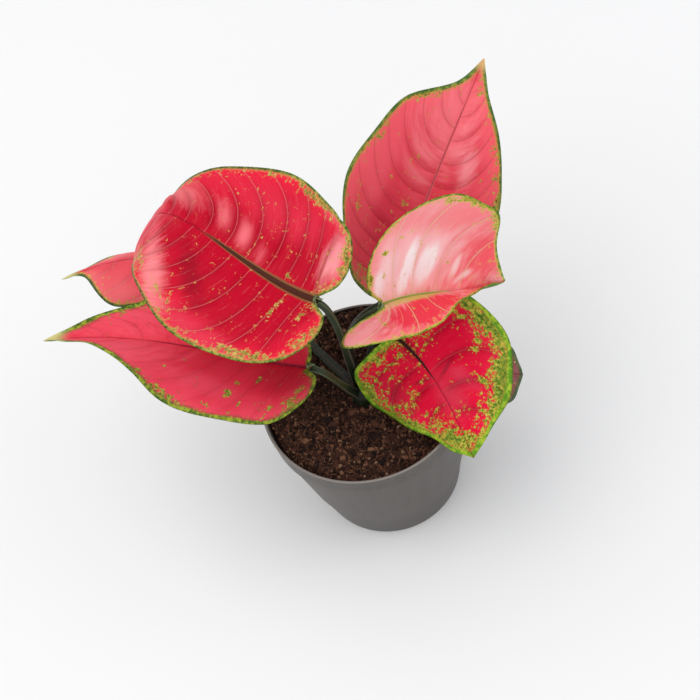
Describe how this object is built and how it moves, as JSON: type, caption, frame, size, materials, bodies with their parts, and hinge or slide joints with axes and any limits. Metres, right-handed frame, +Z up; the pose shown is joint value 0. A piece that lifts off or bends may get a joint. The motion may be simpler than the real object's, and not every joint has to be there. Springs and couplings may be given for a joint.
{
  "type": "potted chinese evergreen",
  "caption": "Small potted foliage plant with broad red leaves, mottled green at their margins, on slender stalks in a round tapered pot.",
  "frame": {"origin": "centre of the pot's underside, on the surface that the pot stands on", "axes": "+Z up along the pot's axis; -Y towards the side that the picture was taken from; +X to the right seen from that side"},
  "size_m": [0.2941, 0.189, 0.2343],
  "materials": {
    "grey_plastic": "smooth moulded dark grey plastic with a soft sheen",
    "potting_soil": "loose dark brown peat and coir crumbs",
    "petiole_green": "smooth dark green stalk",
    "leaf_crimson": "satin crimson leaf with a green mottled margin",
    "leaf_rose": "satin rose red leaf with a green mottled margin",
    "leaf_salmon": "satin salmon pink leaf with pale streaks and a green mottled margin"
  },
  "bodies": {
    "root": {"pot": "grey_plastic", "soil": "potting_soil", "crown": "petiole_green", "petiole_front_left": "petiole_green", "petiole_low_left": "petiole_green", "petiole_back_left": "petiole_green", "petiole_upright": "petiole_green", "petiole_front_right": "petiole_green", "petiole_drooping": "petiole_green", "petiole_low_right": "petiole_green", "blade_front_left": "leaf_crimson", "blade_low_left": "leaf_rose", "blade_back_left": "leaf_rose", "blade_upright": "leaf_rose", "blade_front_right": "leaf_salmon", "blade_drooping": "leaf_crimson", "blade_low_right": "leaf_rose"}
  },
  "joints": []
}
